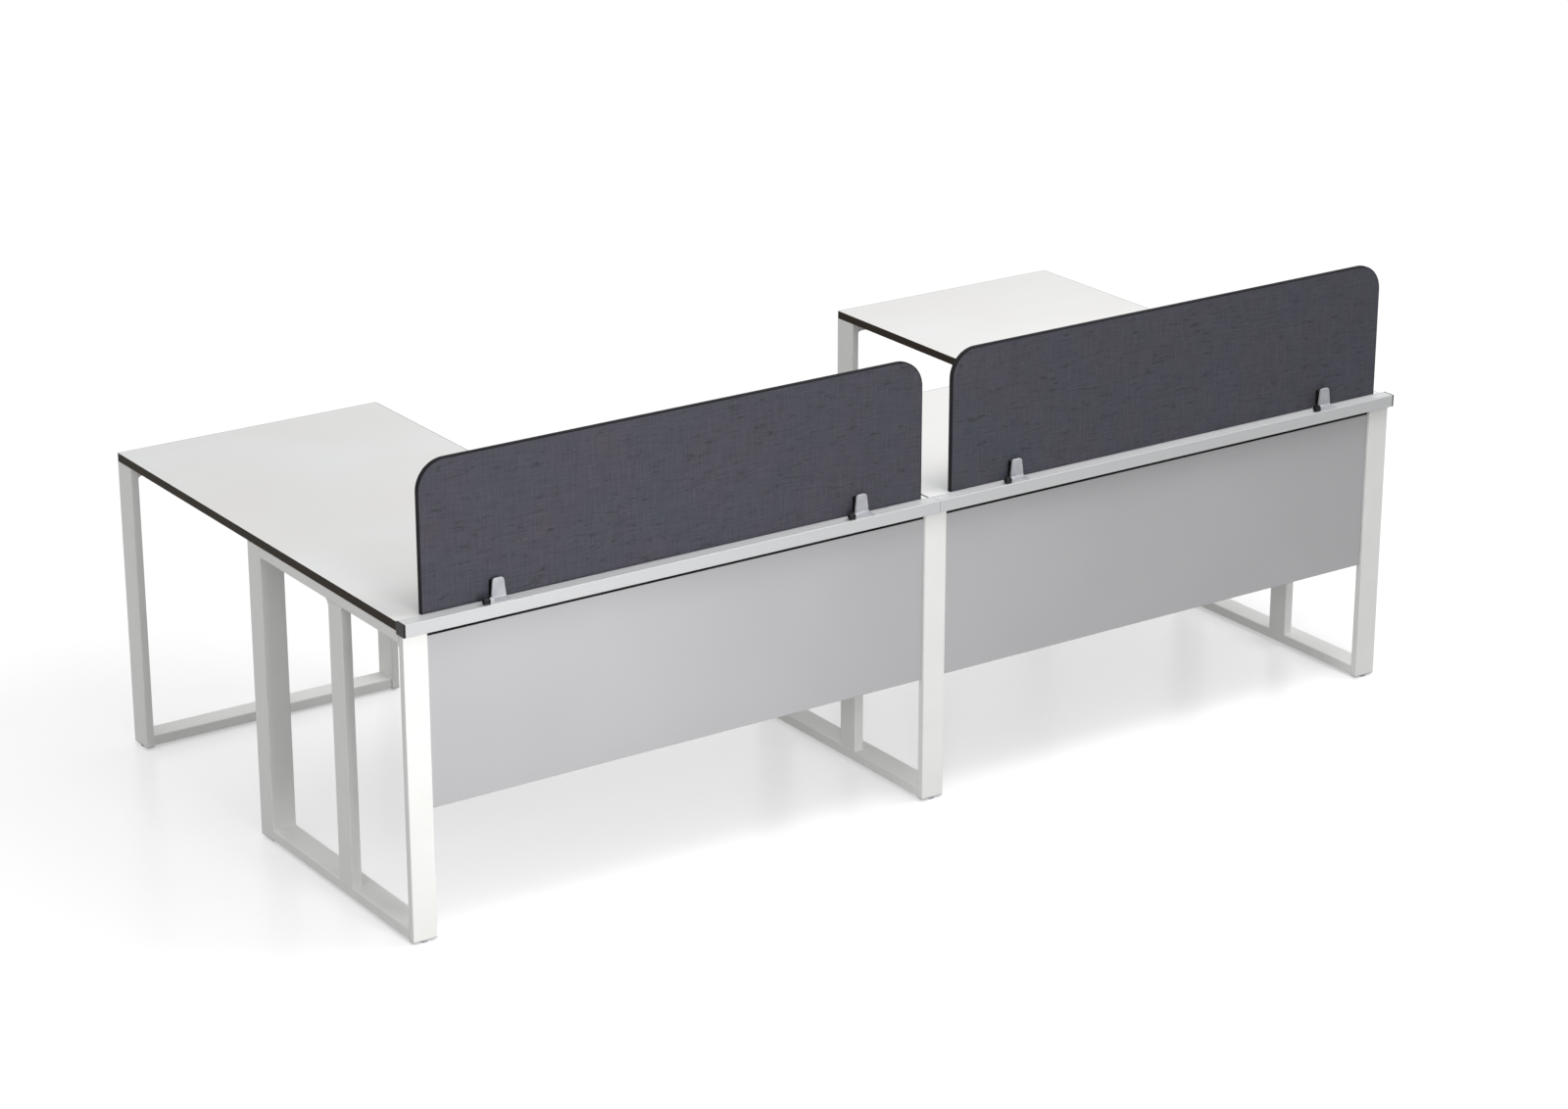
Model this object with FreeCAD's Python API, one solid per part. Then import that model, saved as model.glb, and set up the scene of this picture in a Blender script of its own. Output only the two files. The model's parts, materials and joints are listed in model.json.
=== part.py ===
import FreeCAD, Part
import os
from math import cos, pi, sin
from FreeCAD import Vector

# A bench for two people: two L-shaped tops in one line, whose returns run back at the outer ends.
# X runs along the bench, Y from the screen side to the far ends of the returns, and Z points up.
# The origin is on the floor, under the middle of the bench's box. All lengths are in millimetres.

# Whole bench
bay_width = 1400.0
top_height = 745.0
overall_depth = 1400.0
main_depth = 700.0
return_width = 700.0

# Desktops and their edge bands
top_thickness = 20.0
band_thickness = 2.0
band_edge_round = 1.0
top_joint_gap = 1.0
top_rail_gap = 0.5
inner_corner_radius = 20.0
outer_corner_radius = 4.0

# Steel tube
tube_wall = 1.5
tube_corner = 2.5
cap_plate = 3.0
corner_ear = 10.0

# Main frames
front_leg_width = 60.0
front_leg_depth = 20.0
middle_leg_width = 25.0
middle_leg_depth = 60.0
middle_leg_setback = 275.0
rear_post_width = 60.0
rear_post_depth = 60.0
end_post_reach = 29.0
cross_rail_height = 25.0
floor_rail_height = 25.0

# Return frames
return_leg_width = 20.0
return_leg_depth = 70.0
return_rail_depth = 60.0

# Beams under the tops, and the plates on their ends
beam_width = 25.0
beam_height = 50.0
front_beam_setback = 60.0
rear_beam_inset = 106.0
return_beam_inset = 150.0
end_plate_thickness = 3.0
end_plate_width = 66.0
end_bolt_offset = 23.0
end_bolt_radius = 3.0
end_bolt_reach = 5.0
end_bolt_head_radius = 5.6
end_bolt_head_height = 4.0

# Angle brackets between the beams and the tops
bracket_leaf = 32.0
bracket_width = 30.0
bracket_thickness = 2.0
bracket_hole_share = 0.6
bracket_place_shares = (0.2, 0.8)
return_bracket_place_share = 0.55

# Screws for the brackets, plates and screens
screw_radius = 2.0
screw_head_radius = 4.2
screw_head_height = 2.4
screw_socket_radius = 1.7
screw_socket_depth = 1.4
top_screw_bite = 13.0
wall_screw_bite = 5.0

# Modesty panels and the plates that hold them
panel_height = 398.0
panel_thickness = 12.0
panel_edge_round = 0.8
panel_recess = 8.0
panel_side_gap = 1.0
panel_plate_length = 56.0
panel_plate_height = 36.0
panel_plate_thickness = 2.0
panel_plate_edge = 70.0
panel_screw_bite = 8.0
seal_height = 15.0
seal_inset = 1.0

# Accessory rail
rail_reach = 14.0
rail_depth = 34.0
rail_height = 30.0
rail_rise = 6.0
rail_wall = 2.0
rail_corner = 1.5
rail_joint_gap = 1.0
rail_groove_width = 2.0
rail_groove_depth = 1.0
rail_groove_setback = 4.0
slot_mouth = 8.6
slot_lip = 2.5
slot_width = 15.4
slot_height = 6.0
chamber_floor = 11.0
end_cap_thickness = 5.0
end_cap_round = 1.2
end_cap_plug = 12.0
plug_clearance = 0.2
splice_length = 160.0

# Bolts that hold the rail to the front legs
rail_bolt_radius = 4.0
rail_bolt_head_radius = 7.5
rail_bolt_head_height = 5.3
rail_bolt_tail = 3.0
rail_nut_height = 6.5
rail_bolt_spacing = 30.0

# Screens
screen_left_margin = 65.0
screen_right_margin = 20.0
screen_height = 339.5
screen_thickness = 12.0
screen_lift = 0.5
screen_gap = 13.0
screen_corner_radius = 68.0
screen_edge_round = 2.5

# Screen clips, their pads and clamp knobs
clip_inset = 180.0
clip_left_reach = 18.0
clip_front_setback = 1.5
clip_plate_thickness = 3.0
clip_round = 1.5
clip_rib_clearance = 0.2
finger_foot_width = 36.0
finger_top_width = 28.0
finger_height = 43.0
finger_foot_thickness = 5.0
finger_top_thickness = 4.0
finger_top_round = 7.0
finger_edge_round = 2.5
finger_fillet = 4.0
pad_thickness = 13.5
pad_width = 28.0
pad_height = 36.0
pad_round = 2.0
finger_screw_low = 15.0
finger_screw_high = 33.0
finger_screw_bite = 2.5
boss_width = 10.0
boss_radius = 6.0
boss_wall = 2.0
knob_setback = 8.5
knob_lift = 0.5
knob_radius = 7.5
knob_length = 14.0
knob_chamfer = 1.0
knob_dish_radius = 4.5
knob_dish_depth = 1.0
knob_gap = 0.3
knob_flutes = 12
flute_radius = 1.1
knob_shank_radius = 2.5
knob_clearance = 0.3

# Levelling glides and the plugs that carry them
glide_radius = 9.5
glide_height = 5.0
glide_chamfer = 0.8
glide_gap = 0.3
stem_radius = 4.0
stem_length = 17.0
stem_clearance = 0.3
plug_flange = 1.7
plug_depth = 14.0

# One overrun for every cut that runs through
overrun = 5.0

# Levels
underside = top_height - top_thickness
rail_top = top_height + rail_rise
rail_bottom = rail_top - rail_height
leg_bottom = glide_height + glide_gap + plug_flange
floor_rail_top = leg_bottom + floor_rail_height
cross_rail_bottom = underside - cross_rail_height
beam_bottom = underside - beam_height
panel_top = rail_bottom - seal_height
panel_bottom = panel_top - panel_height

# Places along Y
rail_front = -overall_depth / 2
rail_back = rail_front + rail_depth
leg_front = rail_front + rail_reach
top_front = rail_back + top_rail_gap
main_edge = rail_front + main_depth
far_edge = rail_front + overall_depth
front_leg_back = leg_front + front_leg_depth
front_beam_front = leg_front + front_beam_setback
rear_beam_front = main_edge - rear_beam_inset
rear_beam_back = rear_beam_front + beam_width
return_rail_front = far_edge - (return_leg_depth + return_rail_depth) / 2
screen_front = rail_back + screen_gap
screen_back = screen_front + screen_thickness
panel_front = leg_front + panel_recess
panel_back = panel_front + panel_thickness

# Places along X
bay_starts = {"left": -bay_width, "right": 0.0}
frame_starts = {
    "left": -bay_width,
    "middle": -front_leg_width / 2,
    "right": bay_width - front_leg_width,
}
end_post_front = main_edge + end_post_reach - rear_post_depth
post_fronts = {
    "left": end_post_front,
    "middle": main_edge - rear_post_depth,
    "right": end_post_front,
}
bay_frames = {"left": ("left", "middle"), "right": ("middle", "right")}

UP = Vector(0, 0, 1)
DOWN = Vector(0, 0, -1)
ALONG = Vector(1, 0, 0)
BACK = Vector(0, 1, 0)


def box(x_from, x_to, y_from, y_to, z_from, z_to):
    """A block between two corners."""
    return Part.makeBox(x_to - x_from, y_to - y_from, z_to - z_from, Vector(x_from, y_from, z_from))


def rounded(solid, direction, radius):
    """The solid with its straight edges along one direction rounded."""
    edges = [e for e in solid.Edges if abs(abs(e.tangentAt(e.FirstParameter).dot(direction)) - 1) < 1e-6]
    return solid.makeFillet(radius, edges)


def tube(x_from, x_to, y_from, y_to, z_from, z_to, direction, closed_end=0.0):
    """A rectangular tube along one axis, open at its start and closed at its end by a plate."""
    outer = rounded(box(x_from, x_to, y_from, y_to, z_from, z_to), direction, tube_corner)
    start = Vector(x_from, y_from, z_from)
    end = Vector(x_to, y_to, z_to)
    side = Vector(1, 1, 1) - direction
    start = start + side * tube_wall - direction * overrun
    end = end - side * tube_wall + direction * (-closed_end if closed_end else overrun)
    return outer.cut(box(start.x, end.x, start.y, end.y, start.z, end.z))


def mirrored(shape):
    """The same piece on the other half of the bench."""
    return shape.mirror(Vector(0, 0, 0), ALONG)


def placed(shape, x, y, z, turn):
    """A piece drawn at the origin, turned about Z and put in its place."""
    copy = shape.copy()
    copy.rotate(Vector(0, 0, 0), UP, turn)
    copy.translate(Vector(x, y, z))
    return copy


def rod(point, direction, length, radius):
    return Part.makeCylinder(radius, length, point, direction)


def arc_step(radius):
    """How far in from a square corner, along each side, the middle of its rounding lies."""
    return radius * (1 - cos(pi / 4))


def hex_prism(point, direction, height, corner_radius):
    """A six-sided prism that stands on a point along a direction."""
    side = BACK if abs(direction.dot(BACK)) < 0.5 else UP
    other = direction.cross(side)
    corners = []
    for k in range(6):
        angle = pi * k / 3
        corners.append(point + side * (corner_radius * cos(angle)) + other * (corner_radius * sin(angle)))
    corners.append(corners[0])
    return Part.Face(Part.makePolygon(corners)).extrude(direction * height)


def face_of(points):
    """A flat face whose outline is a list of points, where a triple of points is an arc."""
    edges = []
    here = points[0]
    for item in points[1:] + [points[0]]:
        if isinstance(item, tuple):
            edges.append(Part.Arc(here, item[0], item[1]).toShape())
            here = item[1]
        else:
            if here.distanceToPoint(item) > 0:
                edges.append(Part.LineSegment(here, item).toShape())
            here = item
    return Part.Face(Part.Wire(edges))


# The L-shaped desktops

def top_outline_solid(inset, radius_change):
    """The left top's L shape, drawn in by an inset, with the corner radii changed to match."""
    left = -bay_width + inset
    right = -top_joint_gap / 2 - inset
    front = top_front + inset
    notch_x = -bay_width + return_width - inset
    notch_y = main_edge - inset
    back = far_edge - inset
    long_part = box(left, right, front, notch_y, underside, top_height)
    return_part = box(left, notch_x, front, back, underside, top_height)
    solid = long_part.fuse(return_part).removeSplitter()
    inner = []
    outer = []
    for edge in solid.Edges:
        middle = edge.CenterOfMass
        if abs(edge.tangentAt(edge.FirstParameter).dot(UP)) < 0.5:
            continue
        at_notch = middle.distanceToPoint(Vector(notch_x, notch_y, middle.z)) < tube_wall
        if at_notch:
            inner.append(edge)
        else:
            outer.append(edge)
    solid = solid.makeFillet(inner_corner_radius + radius_change, inner)
    outer_places = [edge.CenterOfMass for edge in outer]
    outer = []
    for edge in solid.Edges:
        if any(edge.CenterOfMass.distanceToPoint(place) < tube_wall for place in outer_places):
            outer.append(edge)
    return solid.makeFillet(outer_corner_radius - radius_change, outer)


def desktop_and_band(screw_bores):
    """The board, with holes for the bracket screws, and the dark band round its edge."""
    whole = top_outline_solid(0.0, 0.0)
    rims = [edge for edge in whole.Edges if edge.BoundBox.ZLength < band_edge_round]
    whole = whole.makeFillet(band_edge_round, rims)
    board = top_outline_solid(band_thickness, band_thickness)
    band = whole.cut(board)
    return board.cut(Part.makeCompound(screw_bores)), band


# Tube frames

def ear_across(x_from, x_to, y_corner, z_corner, toward):
    """A rounded inner corner under a rail along Y, where a leg's face meets the rail's underside."""
    block = box(x_from, x_to, min(y_corner, y_corner + toward * corner_ear),
                max(y_corner, y_corner + toward * corner_ear), z_corner - corner_ear, z_corner)
    centre = Vector(x_from - overrun, y_corner + toward * corner_ear, z_corner - corner_ear)
    return block.cut(rod(centre, ALONG, x_to - x_from + 2 * overrun, corner_ear))


def ear_along(x_corner, y_from, y_to, z_corner, toward):
    """A rounded inner corner under a rail along X."""
    block = box(min(x_corner, x_corner + toward * corner_ear), max(x_corner, x_corner + toward * corner_ear),
                y_from, y_to, z_corner - corner_ear, z_corner)
    centre = Vector(x_corner + toward * corner_ear, y_from - overrun, z_corner - corner_ear)
    return block.cut(rod(centre, BACK, y_to - y_from + 2 * overrun, corner_ear))


def frame_feet(name):
    """The footprint of each leg of a main frame, as x, y, width and depth."""
    start = frame_starts[name]
    return {
        "front": (start, leg_front, front_leg_width, front_leg_depth),
        "middle": (start, leg_front + middle_leg_setback, middle_leg_width, middle_leg_depth),
        "rear": (start, post_fronts[name], rear_post_width, rear_post_depth),
    }


def return_feet(side):
    """The footprint of each leg of a return frame."""
    leg_front_y = far_edge - return_leg_depth
    outer = -bay_width
    inner = -bay_width + return_width - return_leg_width
    if side == "right":
        outer, inner = -outer - return_leg_width, -inner - return_leg_width
    return {
        "outer": (outer, leg_front_y, return_leg_width, return_leg_depth),
        "inner": (inner, leg_front_y, return_leg_width, return_leg_depth),
    }


def leg(foot, top, bottom=leg_bottom):
    """An upright tube on its footprint, open at the foot and closed at the top."""
    x, y, width, depth = foot
    return tube(x, x + width, y, y + depth, bottom, top, UP, cap_plate)


def main_frame(name, bores):
    """A welded loop: front leg, rear post, a rail under the top, a rail on the floor, and a middle leg."""
    feet = frame_feet(name)
    start = frame_starts[name]
    post_front = post_fronts[name]
    middle_front = feet["middle"][1]
    middle_back = middle_front + middle_leg_depth
    rail_end = start + front_leg_width
    rail = tube(start, rail_end, front_leg_back, post_front, cross_rail_bottom, underside, BACK)
    floor_rail = tube(start, rail_end, front_leg_back, post_front, leg_bottom, floor_rail_top, BACK)
    flat_to = start + middle_leg_width
    ears = [
        ear_across(start, rail_end, front_leg_back, cross_rail_bottom, 1),
        ear_across(start, flat_to, middle_front, cross_rail_bottom, -1),
        ear_across(start, flat_to, middle_back, cross_rail_bottom, 1),
        ear_across(start, rail_end, post_front, cross_rail_bottom, -1),
    ]
    rail = rail.fuse(ears).removeSplitter()
    tubes = [
        leg(feet["front"], rail_bottom),
        leg(feet["middle"], cross_rail_bottom, floor_rail_top),
        leg(feet["rear"], underside),
        rail,
        floor_rail,
    ]
    holes = Part.makeCompound(bores)
    return Part.makeCompound([solid.cut(holes).Solids[0] for solid in tubes])


def return_frame(bores):
    """The left return's welded loop: two legs, with a rail under the top and a rail on the floor."""
    feet = return_feet("left")
    outer_x = feet["outer"][0] + return_leg_width
    inner_x = feet["inner"][0]
    y_to = return_rail_front + return_rail_depth
    rail = tube(outer_x, inner_x, return_rail_front, y_to, cross_rail_bottom, underside, ALONG)
    floor_rail = tube(outer_x, inner_x, return_rail_front, y_to, leg_bottom, floor_rail_top, ALONG)
    ears = [
        ear_along(outer_x, return_rail_front, y_to, cross_rail_bottom, 1),
        ear_along(inner_x, return_rail_front, y_to, cross_rail_bottom, -1),
    ]
    rail = rail.fuse(ears).removeSplitter().cut(Part.makeCompound(bores))
    legs = [leg(feet["outer"], underside), leg(feet["inner"], underside)]
    return Part.makeCompound([solid.Solids[0] for solid in legs + [rail, floor_rail]])


# Beams with their end plates and bolts

def beam_span(bay):
    """Where a beam along X starts and ends, between the frames on each side of its bay."""
    first, last = bay_frames[bay]
    x_from = frame_starts[first] + front_leg_width
    x_to = frame_starts[last]
    return x_from, x_to


def return_beam_x(which):
    """The left side of one of the left return's beams."""
    if which == "outer":
        return -bay_width + return_beam_inset
    return -bay_width + return_width - return_beam_inset - beam_width


def beam_along(bay, y_front, bores):
    """A beam between two main frames, short of them by its end plates."""
    x_from, x_to = beam_span(bay)
    beam = tube(x_from + end_plate_thickness, x_to - end_plate_thickness, y_front, y_front + beam_width,
                beam_bottom, underside, ALONG)
    return beam.cut(Part.makeCompound(bores))


def return_beam(which, bores):
    """A beam of the left return, from the rear beam to the return frame's rail."""
    x = return_beam_x(which)
    beam = tube(x, x + beam_width, rear_beam_back + end_plate_thickness,
                return_rail_front - end_plate_thickness, beam_bottom, underside, BACK)
    return beam.cut(Part.makeCompound(bores))


def beam_ends():
    """Where each end plate sits, as x, y and turn: the beam leaves it along X turned by that."""
    ends = []
    for bay in ("left", "right"):
        x_from, x_to = beam_span(bay)
        for y_front in (front_beam_front, rear_beam_front):
            ends.append((x_from, y_front + beam_width / 2, 0))
            ends.append((x_to, y_front + beam_width / 2, 180))
    for which in ("outer", "inner"):
        x = return_beam_x(which) + beam_width / 2
        for middle in (x, -x):
            ends.append((middle, rear_beam_back, 90))
            ends.append((middle, return_rail_front, -90))
    return ends


def end_bolt_points():
    """The bolts of an end plate drawn at the origin, where they leave the plate."""
    height = -cross_rail_height / 2
    return [Vector(end_plate_thickness, side * end_bolt_offset, height) for side in (-1, 1)]


def end_plate():
    plate = box(0, end_plate_thickness, -end_plate_width / 2, end_plate_width / 2, -beam_height, 0)
    for point in end_bolt_points():
        plate = plate.cut(rod(point + ALONG, -ALONG, end_plate_thickness + overrun, end_bolt_radius))
    return plate


def end_bolt(point):
    """A hex bolt through an end plate and the wall behind it."""
    head = hex_prism(point, ALONG, end_bolt_head_height, end_bolt_head_radius)
    shank = rod(point, -ALONG, end_plate_thickness + end_bolt_reach, end_bolt_radius)
    return head.fuse(shank)


def end_bolt_bore(point):
    return rod(point, -ALONG, end_plate_thickness + end_bolt_reach + overrun, end_bolt_radius)


def at_beam_ends(shapes):
    """Shapes drawn for an end plate at the origin, repeated at every beam end."""
    return [placed(shape, x, y, underside, turn) for x, y, turn in beam_ends() for shape in shapes]


# Angle brackets and screws

def screw(point, direction, bite):
    """A socket-head screw whose head sits on a point and whose shank runs in along a direction."""
    top = point - direction * screw_head_height
    head = rod(top, direction, screw_head_height, screw_head_radius)
    head = head.cut(hex_prism(top, direction, screw_socket_depth, screw_socket_radius))
    return head.fuse(rod(point, direction, bite, screw_radius))


def angle_bracket():
    """A bracket at the origin: one leaf against a beam at Y zero, the other under the top."""
    upright = box(-bracket_width / 2, bracket_width / 2, 0, bracket_thickness, -bracket_leaf, 0)
    flat = box(-bracket_width / 2, bracket_width / 2, 0, bracket_leaf, -bracket_thickness, 0)
    bracket = upright.fuse(flat).removeSplitter()
    for point, direction, bite in bracket_screw_points():
        bracket = bracket.cut(rod(point, direction, bracket_thickness + overrun, screw_radius))
    return bracket


def bracket_screw_points():
    """Each screw of a bracket: where its head sits, its direction and its length."""
    reach = bracket_leaf * bracket_hole_share
    return [
        (Vector(0, reach, -bracket_thickness), UP, bracket_thickness + top_screw_bite),
        (Vector(0, bracket_thickness, -reach), -BACK, bracket_thickness + wall_screw_bite),
    ]


def bracket_places():
    """Where each bracket sits, as x, y and turn."""
    places = []
    for bay in ("left", "right"):
        x_from, x_to = beam_span(bay)
        for share in bracket_place_shares:
            x = x_from + (x_to - x_from) * share
            places.append((x, front_beam_front + beam_width, 0))
            places.append((x, rear_beam_front, 180))
    y = rear_beam_back + (return_rail_front - rear_beam_back) * return_bracket_place_share
    outer_x = return_beam_x("outer") + beam_width
    inner_x = return_beam_x("inner")
    places += [(outer_x, y, -90), (inner_x, y, 90), (-outer_x, y, 90), (-inner_x, y, -90)]
    return places


def at_brackets(shapes):
    return [placed(shape, x, y, underside, turn) for x, y, turn in bracket_places() for shape in shapes]


# Modesty panels

def panel_plate_places():
    """Where each flat plate bridges a leg and a panel, as the x of the joint and its height."""
    places = []
    for bay in ("left", "right"):
        x_from, x_to = beam_span(bay)
        for z in (panel_bottom + panel_plate_edge, panel_top - panel_plate_edge):
            places += [(x_from, z), (x_to, z)]
    return places


def panel_screw_points():
    plate_back = front_leg_back + panel_plate_thickness
    points = []
    for x, z in panel_plate_places():
        for side in (-1, 1):
            points.append(Vector(x + side * panel_plate_length / 4, plate_back, z))
    return points


def panel_plates():
    plates = []
    for x, z in panel_plate_places():
        half = panel_plate_length / 2
        plate = box(x - half, x + half, front_leg_back, front_leg_back + panel_plate_thickness,
                    z - panel_plate_height / 2, z + panel_plate_height / 2)
        plates.append(plate.cut(Part.makeCompound(panel_bores())))
    return Part.makeCompound(plates)


def panel_bores():
    length = panel_plate_thickness + panel_screw_bite
    return [rod(point, -BACK, length, screw_radius) for point in panel_screw_points()]


def modesty_panel(bay):
    x_from, x_to = beam_span(bay)
    board = box(x_from + panel_side_gap, x_to - panel_side_gap, panel_front, panel_back,
                panel_bottom, panel_top)
    board = board.makeFillet(panel_edge_round, board.Edges)
    return board.cut(Part.makeCompound(panel_bores()))


def panel_seal(bay):
    """A soft dark strip that closes the gap between a panel's top edge and the rail above it."""
    x_from, x_to = beam_span(bay)
    return box(x_from + panel_side_gap, x_to - panel_side_gap, panel_front + seal_inset,
               panel_back - seal_inset, panel_top, rail_bottom)


# Accessory rail

def rail_groove_fronts():
    """Where the two grooves in the rail's top start along Y."""
    return rail_front + rail_groove_setback, rail_back - rail_groove_setback - rail_groove_width


def rail_section(x):
    """The rail's closed outline in the plane at x, with its rounded corners and two top grooves."""
    corner = rail_corner
    step = arc_step(corner)
    groove_front, groove_back = rail_groove_fronts()
    slot_middle = leg_front + front_leg_depth / 2

    def at(y, z):
        return Vector(x, y, z)

    groove_floor = rail_top - rail_groove_depth
    return [
        at(rail_front + corner, rail_bottom),
        at(slot_middle - slot_mouth / 2, rail_bottom),
        at(slot_middle - slot_mouth / 2, rail_bottom + slot_lip),
        at(slot_middle - slot_width / 2, rail_bottom + slot_lip),
        at(slot_middle - slot_width / 2, rail_bottom + slot_lip + slot_height),
        at(slot_middle + slot_width / 2, rail_bottom + slot_lip + slot_height),
        at(slot_middle + slot_width / 2, rail_bottom + slot_lip),
        at(slot_middle + slot_mouth / 2, rail_bottom + slot_lip),
        at(slot_middle + slot_mouth / 2, rail_bottom),
        at(rail_back - corner, rail_bottom),
        (at(rail_back - step, rail_bottom + step), at(rail_back, rail_bottom + corner)),
        at(rail_back, rail_top - corner),
        (at(rail_back - step, rail_top - step), at(rail_back - corner, rail_top)),
        at(groove_back + rail_groove_width, rail_top),
        at(groove_back + rail_groove_width, groove_floor),
        at(groove_back, groove_floor),
        at(groove_back, rail_top),
        at(groove_front + rail_groove_width, rail_top),
        at(groove_front + rail_groove_width, groove_floor),
        at(groove_front, groove_floor),
        at(groove_front, rail_top),
        at(rail_front + corner, rail_top),
        (at(rail_front + step, rail_top - step), at(rail_front, rail_top - corner)),
        at(rail_front, rail_bottom + corner),
        (at(rail_front + step, rail_bottom + step), at(rail_front + corner, rail_bottom)),
    ]


def chamber(x_from, x_to, clearance):
    """The space inside the rail above its bolt slot, made smaller by a clearance."""
    inset = rail_wall + clearance
    return box(x_from, x_to, rail_front + inset, rail_back - inset,
               rail_bottom + chamber_floor + clearance, rail_top - rail_groove_depth - inset)


def accessory_rail(bay):
    x_from = bay_starts[bay] + (rail_joint_gap / 2 if bay == "right" else 0)
    x_to = bay_starts[bay] + bay_width - (rail_joint_gap / 2 if bay == "left" else 0)
    solid = face_of(rail_section(x_from)).extrude(ALONG * (x_to - x_from))
    return solid.cut(chamber(x_from - overrun, x_to + overrun, 0.0))


def rail_end_cap():
    """The cap on the rail's left end: a plate with rounded edges and a plug in the chamber."""
    outer_x = -bay_width - end_cap_thickness
    block = box(outer_x, -bay_width, rail_front, rail_back, rail_bottom, rail_top)
    plate = rounded(block, ALONG, rail_corner)
    rim = [e for e in plate.Edges if abs(e.CenterOfMass.x - outer_x) < tube_wall]
    plate = plate.makeFillet(end_cap_round, rim)
    return plate.fuse(chamber(-bay_width, -bay_width + end_cap_plug, plug_clearance))


def rail_bolt_places():
    """The bolts over each front leg, as x of their axes."""
    half = rail_bolt_spacing / 2
    middles = [start + front_leg_width / 2 for start in frame_starts.values()]
    return [middle + side * half for middle in middles for side in (-1, 1)]


def rail_bolt(x):
    """A bolt whose head sits in the rail's slot, and its nut under the leg's cap plate."""
    y = leg_front + front_leg_depth / 2
    seat = rail_bottom + slot_lip
    nut_top = rail_bottom - cap_plate
    tail = nut_top - rail_nut_height - rail_bolt_tail
    head = hex_prism(Vector(x, y, seat), UP, rail_bolt_head_height, rail_bolt_head_radius)
    shank = rod(Vector(x, y, tail), UP, seat - tail, rail_bolt_radius)
    nut = hex_prism(Vector(x, y, nut_top - rail_nut_height), UP, rail_nut_height, rail_bolt_head_radius)
    return [head.fuse(shank), nut.cut(shank)]


def rail_bolt_bore(x):
    y = leg_front + front_leg_depth / 2
    return rod(Vector(x, y, rail_bottom + overrun), DOWN, cap_plate + 2 * overrun, rail_bolt_radius)


# Screens

def screen_span(bay):
    start = bay_starts[bay]
    return start + screen_left_margin, start + bay_width - screen_right_margin


def screen(bay):
    """A covered board with rounded top corners, softened all round its edges but the bottom."""
    x_from, x_to = screen_span(bay)
    z_from = top_height + screen_lift
    z_to = z_from + screen_height
    board = box(x_from, x_to, screen_front, screen_back, z_from, z_to)
    top_corners = []
    for edge in board.Edges:
        runs_back = abs(edge.tangentAt(edge.FirstParameter).dot(BACK)) > 0.5
        if runs_back and edge.CenterOfMass.z > top_height + screen_height / 2:
            top_corners.append(edge)
    board = board.makeFillet(screen_corner_radius, top_corners)
    rims = []
    for edge in board.Edges:
        middle = edge.CenterOfMass
        on_face = min(abs(middle.y - screen_front), abs(middle.y - screen_back)) < screen_edge_round / 2
        if on_face and middle.z > z_from + screen_edge_round:
            rims.append(edge)
    board = board.makeFillet(screen_edge_round, rims)
    return board.cut(Part.makeCompound([screen_bore(*place) for place in screen_screw_places(bay)]))


# Screen clips, pads, knobs

def clip_middles(bay):
    x_from, x_to = screen_span(bay)
    return [x_from + clip_inset, x_to - clip_inset]


def finger_back():
    return screen_front - pad_thickness


def clip_left(middle):
    """The left side of a clip's plate; its right side is in line with the finger's foot."""
    return middle - finger_foot_width / 2 - clip_left_reach


def clip_side_profile(middle):
    """The clip's outline from its side: a thin plate whose back rises into a finger."""
    x = clip_left(middle)
    front = rail_front + clip_front_setback
    plate_top = rail_top + clip_plate_thickness
    finger_top = plate_top + finger_height
    back = finger_back()
    foot_front = back - finger_foot_thickness
    top_front = back - finger_top_thickness
    fillet_step = arc_step(finger_fillet)
    round_step = arc_step(clip_round)
    edge_step = arc_step(finger_edge_round)
    return face_of([
        Vector(x, front, rail_top),
        Vector(x, back, rail_top),
        Vector(x, back, finger_top),
        Vector(x, top_front + finger_edge_round, finger_top),
        (Vector(x, top_front + edge_step, finger_top - edge_step),
         Vector(x, top_front, finger_top - finger_edge_round)),
        Vector(x, foot_front, plate_top + finger_fillet),
        (Vector(x, foot_front - fillet_step, plate_top + fillet_step),
         Vector(x, foot_front - finger_fillet, plate_top)),
        Vector(x, front + clip_round, plate_top),
        (Vector(x, front + round_step, plate_top - round_step),
         Vector(x, front, plate_top - clip_round)),
    ])


def clip_front_profile(middle):
    """The clip's outline from the front: a plate and a finger that narrows to a rounded top."""
    y = rail_front
    left = clip_left(middle)
    foot_left = middle - finger_foot_width / 2
    foot_right = middle + finger_foot_width / 2
    plate_top = rail_top + clip_plate_thickness
    finger_top = plate_top + finger_height
    round_step = arc_step(finger_top_round)
    top_left = middle - finger_top_width / 2
    top_right = middle + finger_top_width / 2
    return face_of([
        Vector(left, y, rail_top),
        Vector(foot_right, y, rail_top),
        Vector(foot_right, y, plate_top),
        Vector(top_right, y, finger_top - finger_top_round),
        (Vector(top_right - round_step, y, finger_top - round_step),
         Vector(top_right - finger_top_round, y, finger_top)),
        Vector(top_left + finger_top_round, y, finger_top),
        (Vector(top_left + round_step, y, finger_top - round_step),
         Vector(top_left, y, finger_top - finger_top_round)),
        Vector(foot_left, y, plate_top),
        Vector(left, y, plate_top),
    ])


def clip_boss(middle):
    """The round-topped block at the plate's left front corner that carries the knob."""
    left = clip_left(middle)
    axis = knob_axis_point(middle)
    front = axis.y - boss_radius
    back = axis.y + boss_radius
    return face_of([
        Vector(left, front, rail_top),
        Vector(left, back, rail_top),
        Vector(left, back, axis.z),
        (Vector(left, axis.y, axis.z + boss_radius), Vector(left, front, axis.z)),
    ]).extrude(ALONG * boss_width)


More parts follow.
